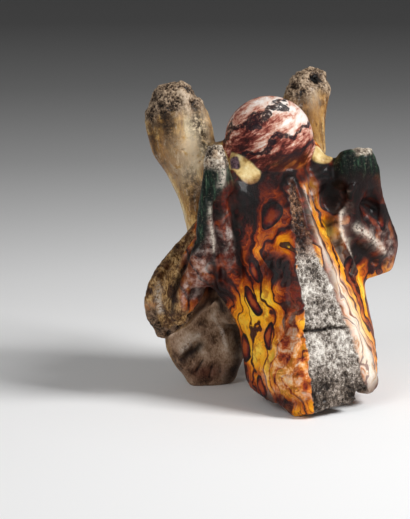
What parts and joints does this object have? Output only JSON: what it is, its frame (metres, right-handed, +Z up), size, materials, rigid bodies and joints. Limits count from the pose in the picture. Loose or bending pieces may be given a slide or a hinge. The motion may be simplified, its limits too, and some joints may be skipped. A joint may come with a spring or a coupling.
{
  "type": "painted horse neck vertebra",
  "caption": "Dry horse neck vertebra standing on its tail end, its round head and ventral faces painted in varnished bands.",
  "frame": {"origin": "centre of the bounding box's bottom, on the surface the bone stands on", "axes": "+Z up, towards the bone's head end; -Y the ventral side with the crest; +X the animal's left"},
  "size_m": [0.1184, 0.1038, 0.1397],
  "materials": {
    "painted_head": "varnished brick red paint with dark wavy stripes",
    "painted_face": "varnished amber, orange and maroon flowing bands",
    "spongy_bone": "broken spongy bone, speckled grey and white",
    "bare_bone": "dry ochre and cream bone, matt to satin",
    "dark_bone": "dark brown worn bone, matt"
  },
  "bodies": {
    "root": {"head": "painted_head", "centrum": "painted_face", "ventral_crest": "spongy_bone", "arch": "bare_bone", "spinous_process": "bare_bone", "cranial_articular_process_right": "bare_bone", "cranial_articular_process_left": "bare_bone", "caudal_articular_process_right": "dark_bone", "caudal_articular_process_left": "dark_bone", "transverse_process_right": "painted_face", "transverse_process_left": "painted_face"}
  },
  "joints": []
}
